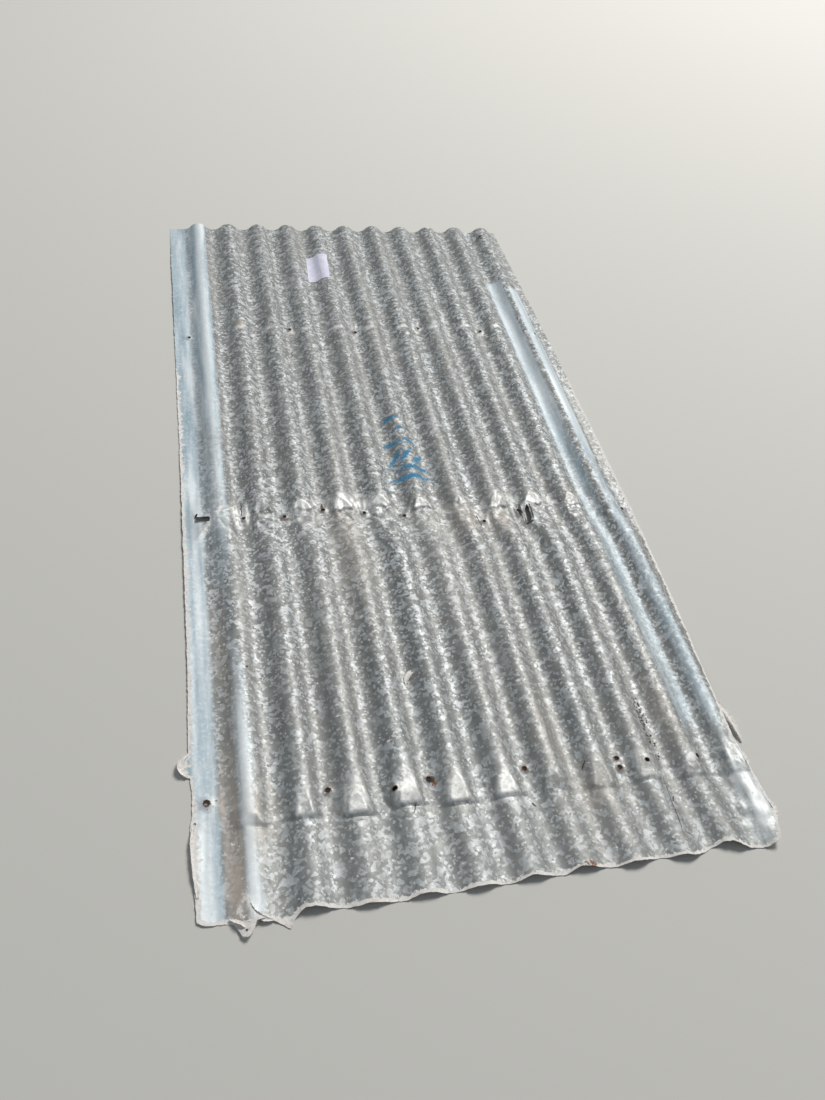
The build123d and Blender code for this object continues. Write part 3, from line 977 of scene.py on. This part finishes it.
profile = put(peeling, "GeometryNodeCurveQuadraticBezier", {
    "Resolution": 5, "Start": (-mm, 0, 0), "Middle": (0, 0.9 * mm, 0), "End": (mm, 0, 0),
}).outputs[0]
strip = put(peeling, "GeometryNodeCurveToMesh", {
    "Curve": line, "Profile Curve": profile, "Scale": half_breadth,
})
strip = put(peeling, "GeometryNodeStoreNamedAttribute", {
    "Geometry": strip.outputs[0], "Name": "oxide", "Value": sliver_oxide,
}, data_type="FLOAT", domain="POINT").outputs[0]
strip = put(peeling, "GeometryNodeRealizeInstances", {"Geometry": strip}).outputs[0]
strip = put(peeling, "GeometryNodeSetMaterial", {"Geometry": strip, "Material": given["Finish"]})
put(peeling, "NodeGroupOutput", {"Geometry": strip.outputs[0]})

slivers = add_object("torn_slivers", cuttings)
shape(slivers, peeling, peel_keys, peel_sizes)
freeze(slivers, sliver_gauge)
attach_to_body(slivers, "root")


# The paper slip: a blank ticket of till paper, which lies on the sheet from a valley up to
# the next crest, follows the metal under it, and curls a little at two of its corners.
slip_width = 52.0
slip_length = 112.0
slip_thickness = 0.1
slip_clearance = 0.16
slip_curl = 0.5
slip_middle = (359.5, 198.0)
slip_turn = math.radians(-3.0)
slip_columns, slip_rows = 16, 30
grid = []
for row in range(slip_rows + 1):
    for column in range(slip_columns + 1):
        sideways = (column / slip_columns - 0.5) * slip_width
        lengthways = (row / slip_rows - 0.5) * slip_length
        x = slip_middle[0] + sideways * math.cos(slip_turn) + lengthways * math.sin(slip_turn)
        y = slip_middle[1] + lengthways * math.cos(slip_turn) - sideways * math.sin(slip_turn)
        above = Vector(metres(x, y, 1000))
        _, hit, _, _ = sheet.ray_cast(above, Vector((0, 0, -1)))
        curl = slip_curl * abs(lengthways / slip_length) ** 2 if column < slip_columns / 2 else 0.0
        grid.append((above.x, above.y, hit.z + (slip_clearance + curl) * mm))
across_row = slip_columns + 1
quads = [
    (at + across_row, at + across_row + 1, at + 1, at)
    for row in range(slip_rows) for at in range(row * across_row, row * across_row + slip_columns)
]
paper = bpy.data.meshes.new("paper_slip")
paper.from_pydata(grid, [], quads)
slip = add_object("paper_slip", paper)

# Smooth coated paper: white with a cool cast, hardly any sheen, faintly cockled by damp
coated, tree, leaf_shader = new_material("coated_till_paper")
place = put(tree, "ShaderNodeTexCoord").outputs["Object"]
cockle = noise(14 * mm, 2.0, place)
tint = ramp(cockle, [(0.3, "#dcdaf0"), (0.7, "#ecebf8")])
tree.links.new(tint, leaf_shader.inputs["Base Color"])
leaf_shader.inputs["Roughness"].default_value = 0.62
wrinkled = put(tree, "ShaderNodeBump", {"Strength": 0.3, "Distance": 0.4 * mm, "Height": cockle})
tree.links.new(wrinkled.outputs[0], leaf_shader.inputs["Normal"])
paper.materials.append(coated)
freeze(slip, slip_thickness)
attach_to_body(slip, "root")


# The floor and the light: a plain pale floor, one large soft lamp behind on the right, where
# the metal's glints ask for it, and a pale even surround.
floor_reach = 14.0
floor_mesh = bpy.data.meshes.new("studio_floor")
floor_corners = [(x * floor_reach, y * floor_reach, 0) for x, y in ((-1, -1), (1, -1), (1, 1), (-1, 1))]
floor_mesh.from_pydata(floor_corners, [], [(0, 1, 2, 3)])
floor = add_object("studio_floor", floor_mesh)
matt, tree, floor_shader = new_material("matt_pale_floor")
floor_shader.inputs["Base Color"].default_value = colour("#d9d7d1")
floor_shader.inputs["Roughness"].default_value = 0.9
floor_shader.inputs["Specular IOR Level"].default_value = 0.1
floor_mesh.materials.append(matt)

lamp_way = Vector((0.44, 0.48, 0.76)).normalized()
lamp_distance = 9.0
lamp_light = bpy.data.lights.new("soft_lamp", "AREA")
lamp_light.size = 3.2
lamp_light.energy = 695.0
lamp_light.color = (1.0, 0.985, 0.955)
lamp = add_object("soft_lamp", lamp_light)
lamp.location = lamp_way * lamp_distance
lamp.rotation_euler = lamp_way.to_track_quat("Z", "Y").to_euler()

# The surround lights the sheet softly, and is paler where it is seen or mirrored
surround = bpy.data.worlds.new("pale_surround")
surround.use_nodes = True
tree = surround.node_tree
tree.nodes["Background"].inputs["Color"].default_value = colour("#d6e0ea")
ray = put(tree, "ShaderNodeLightPath").outputs
seen = sums(tree, "MAXIMUM", ray["Is Camera Ray"], sums(
    tree, "MAXIMUM", ray["Is Glossy Ray"], ray["Is Transmission Ray"]))
tree.links.new(sums(tree, "MULTIPLY_ADD", seen, 0.34, 0.26), tree.nodes["Background"].inputs["Strength"])
bpy.context.scene.world = surround
bpy.context.scene.view_settings.view_transform = "Standard"
